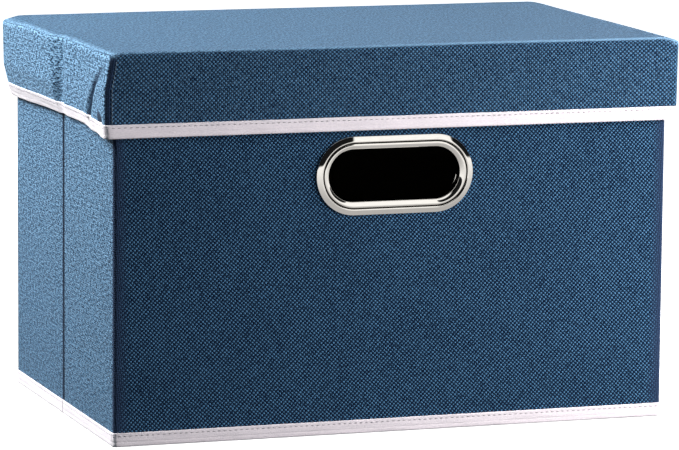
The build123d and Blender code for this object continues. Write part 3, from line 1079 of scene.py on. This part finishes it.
def topstitch():
    """A line of thread beside each corner seam at the lid's left end, where the photo shows it."""
    heights = np.arange(HEM_HIGH + 1.6 * MM, LID_TOP - 5 * MM, 2.9 * MM)
    for y_side, y_name in ((-1, "front"), (1, "back")):
        places = np.array([(-(LID_X - SEAM_IN - 0.4 * MM), y_side * LID_Y, z) for z in heights])
        places += lid_shift(places) + np.array([0, y_side * 0.05 * MM, 0])
        ways, outs = [(0, 0, 1)] * len(places), [(0, y_side, 0)] * len(places)
        name = f"lid_left_{y_name}_topstitch"
        stitch_row(name, places, ways, outs, BLUE_THREAD, "lid", length=2.6 * MM, thick=0.5 * MM)


def make_lid():
    grids = lid_grids(LID_X, LID_Y, LID_HEM, LID_TOP, LID_ROUND, 3.6 * MM, 1.9 * MM)
    depth = LID_TOP - LID_HEM
    flats = [(2 * LID_X, 2 * LID_Y + 2 * depth), (2 * LID_Y, depth), (2 * LID_Y, depth)]
    names = ["lid_cover_cloth", "lid_left_end_cloth", "lid_right_end_cloth"]
    nodes = ["lid_cover", "lid_left_skirt", "lid_right_skirt"]
    for (points, cloth, faces), flat, name, node in zip(grids, flats, names, nodes):
        piece = piece_from(name, points + lid_shift(points), faces, cloth, [BLUE, BLACK])
        x, y, z = points.T
        edge = smooth_step((np.abs(x) - (LID_X - 4.5 * MM)) / (3 * MM))
        edge *= smooth_step((z - (LID_TOP - 4 * MM)) / (2 * MM))
        if node == "lid_cover":
            # Past each corner seam the cloth shows no weave, with a little painted shade mixed in.
            past_seam = np.abs(x) - (LID_X - np.where(x < 0, SEAM_IN, SEAM_IN_RIGHT))
            below_top = smooth_step((LID_TOP - 2 * MM - z) / (2 * MM))
            set_value(piece, "plain", 1.15 * smooth_step(past_seam / (0.6 * MM)) * below_top)
            # Painted light on the cover: a little pale nap everywhere lightens its skirts, more of it on the
            # top towards the left, where the key light falls, and along the end edges as a painted highlight;
            # a painted highlight also runs along the long top edges, stronger to the right.
            rightwards = x / LID_X
            top = (0.15 - 0.06 * rightwards) * (z > LID_TOP - 1 * MM)
            long_edge = smooth_step((LID_Y - 3.2 * MM - np.abs(y)) / (-1.2 * MM))
            long_edge *= smooth_step((z - (LID_TOP - 1.6 * MM)) / (0.8 * MM))
            set_nap_and_painted_light(piece, 760.0, 320.0, 0.06 + top + 0.6 * edge)
            set_value(piece, "painted_edge_highlight", long_edge * (0.30 + 0.25 * rightwards) + 0.2 * edge)
        else:
            # On the left skirt, painted shade in the pleat's fold and in the pocket under it.
            set_value(piece, "plain", (1.6 if node == "lid_left_skirt" else 0) * pleat_shade(y, z))
            # Painted light: the pale nap covers only the faces that look sideways, standing in for their
            # sheen, and is stronger along the top edge as a painted highlight.
            sideways = np.array([abs(vertex.normal.x) for vertex in piece.data.vertices])
            set_nap_and_painted_light(piece, 290.0, 760.0, (0.72 + 0.6 * edge) * smooth_step((sideways - 0.7) / 0.25))
        thicken(piece, 0.7 * MM, inner_material=1)
        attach(piece, "lid")
        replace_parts(piece, node)

    low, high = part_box("lid_lining")
    points, cloth, faces = lid_grids(LINING_END, high.y, low.z, high.z, 2.0 * MM, 9 * MM, 6 * MM)[0]
    sag = 0.7 * MM * smooth_step((np.abs(points[:, 0]) - LINING_FLAT) / (6 * MM))
    points[:, 2] -= sag * (points[:, 2] > high.z - 3 * MM)
    lining = piece_from("lid_lining_cloth", points, faces, cloth, [BLACK])
    thicken(lining, LINING)
    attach(lining, "lid")
    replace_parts(lining, "lid_lining")

    for part in ("top", "front", "back"):
        name = f"lid_{part}_stiffener"
        node = "lid_top_board" if part == "top" else f"lid_{part}_skirt_board"
        low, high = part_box(node)
        if part == "top":
            low.x, high.x, low.z, high.z = -BOARD_END, BOARD_END, low.z + 0.05 * MM, high.z - 0.25 * MM
        else:
            low.x, high.x, high.z = -SKIRT_BOARD_END, SKIRT_BOARD_END, high.z - 2 * MM
            lean = 1.1 * MM if low.y < 0 else -1.1 * MM
            low.y, high.y = low.y + 0.3 * MM + lean, high.y - 0.3 * MM + lean
        board = slab_any(name, low, high, 0.3 * MM, 12 * MM, BOARD)
        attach(board, "lid")
        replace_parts(board, node)
    make_hem()
    topstitch()


def slab_any(name, low, high, edge, step, material):
    """A slab whose thin direction may be Y."""
    if high.y - low.y > high.z - low.z:
        return slab(name, low, high, edge, step, material)
    board = slab(name, (low.x, low.z, low.y), (high.x, high.z, high.y), edge, step, material)
    for vertex in board.data.vertices:
        vertex.co = Vector((vertex.co.x, vertex.co.z, vertex.co.y))
    board.data.flip_normals()
    return board


def make_hem():
    """The white binding round the lid's lower edge, whose ends overlap near the front of the left end."""
    x, y = LID_X, LID_Y
    start = -y + HEM_START
    corners = [(-x, start), (-x, y), (x, y), (x, -y), (-x, -y), (-x, start + HEM_OVERLAP)]
    path, normals = rounded_line(corners, LID_ROUND, 3.0 * MM)
    run = run_along(path)
    over = smooth_step((run - (run[-1] - 9 * MM)) / (1.5 * MM))
    inside = 1.1 * MM + 1.9 * MM * normals[:, 1] ** 2
    path = path + normals * (0.45 * MM * over)[:, None]
    profile = tape_profile(HEM_LOW, HEM_HIGH, HEM_THICK)
    uneven = 0.16 * MM
    hem = band("lid_hem_binding", path, normals, profile, inside, uneven, seed=91.0, shift=lid_shift)
    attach(hem, "lid")
    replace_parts(hem, "lid_hem_tape")
    height = HEM_HIGH - STITCH_DOWN * (HEM_HIGH - HEM_LOW)
    stitches_on("lid_hem_stitches", path, normals, HEM_THICK * 0.85, height, "lid", shift=lid_shift)


def dress_cad_nodes():
    """The stiff pieces and seams keep their CAD shape, with a finish of their own."""
    finishes = {"board": BOARD, "seam": WHITE}
    for name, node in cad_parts.items():
        for ending, finish in finishes.items():
            if name.endswith(ending) and not node.hide_render:
                node.data.materials.clear()
                node.data.materials.append(finish)


make_skins()
make_linings()
wall_tapes("base", 0.0, TAPE_TOP, TAPE * 1.15, 0.5 * MM)
wall_tapes("rim", RIM_BOTTOM, RIM_TOP, TAPE, 4.4 * MM)
make_handles()
make_base()
make_lid()
dress_cad_nodes()

FLOOR_REACH, FLOOR_Z = 14, -0.4 * MM  # a little below the bin, so that no two faces lie in one plane
around_floor = ((-1, -1), (1, -1), (1, 1), (-1, 1))
floor_corners = [(x * FLOOR_REACH, y * FLOOR_REACH, FLOOR_Z) for x, y in around_floor]
floor_mesh = bpy.data.meshes.new("floor")
floor_mesh.from_pydata(floor_corners, [], [(0, 1, 2, 3)])
floor_mesh.materials.append(floor_paint())
floor = bpy.data.objects.new("floor", floor_mesh)
floor.visible_diffuse = floor.visible_glossy = False
bpy.context.collection.objects.link(floor)
